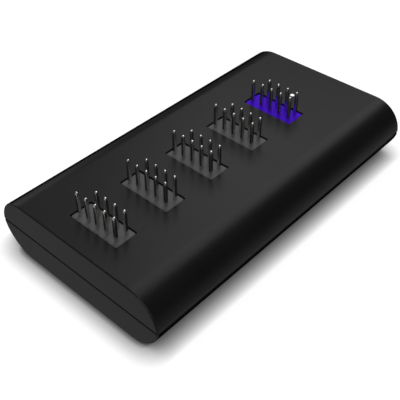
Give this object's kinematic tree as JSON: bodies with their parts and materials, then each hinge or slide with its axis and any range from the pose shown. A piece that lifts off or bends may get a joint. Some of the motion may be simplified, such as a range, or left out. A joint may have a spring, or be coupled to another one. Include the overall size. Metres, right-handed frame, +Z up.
{
  "type": "internal usb hub",
  "caption": "Slim round-sided plastic box with keyed pin headers in windows along its top, for sharing an internal header among several devices.",
  "frame": {"origin": "middle of the flat underside", "axes": "+X along the case towards the purple input header and the power inlet, +Y across it, +Z up along the pins"},
  "size_m": [0.08, 0.044, 0.019],
  "materials": {
    "case_plastic": "fine matte moulded texture",
    "board_laminate": "solder mask",
    "grey_insulator": "satin moulded",
    "purple_insulator": "satin moulded",
    "pin_metal": "polished dark nickel plating",
    "inlet_plastic": "satin moulded",
    "contact_metal": "thin gold plating",
    "light_guide_resin": "milky white, polished end",
    "lamp_resin": "cast resin lens",
    "chip_resin": "matte moulded resin",
    "crystal_metal": "plain lid",
    "capacitor_metal": "drawn can",
    "fuse_polymer": "coated",
    "passive_ceramic": "fired",
    "screw_steel": "black zinc",
    "magnet_metal": "nickel plating"
  },
  "bodies": {
    "root": {"top_cover": "case_plastic", "bottom_cover": "case_plastic", "circuit_board": "board_laminate", "port_header_base_1": "grey_insulator", "port_header_base_2": "grey_insulator", "port_header_base_3": "grey_insulator", "port_header_base_4": "grey_insulator", "input_header_base": "purple_insulator", "port_header_pins_1": "pin_metal", "port_header_pins_2": "pin_metal", "port_header_pins_3": "pin_metal", "port_header_pins_4": "pin_metal", "input_header_pins": "pin_metal", "power_inlet_housing": "inlet_plastic", "power_inlet_contacts": "contact_metal", "status_light_guide": "light_guide_resin", "status_lamp": "lamp_resin", "hub_controller_1": "chip_resin", "hub_controller_2": "chip_resin", "clock_crystal_1": "crystal_metal", "clock_crystal_2": "crystal_metal", "bulk_capacitors": "capacitor_metal", "port_fuses": "fuse_polymer", "chip_passives": "passive_ceramic", "case_screws": "screw_steel", "case_magnets": "magnet_metal"}
  },
  "joints": []
}
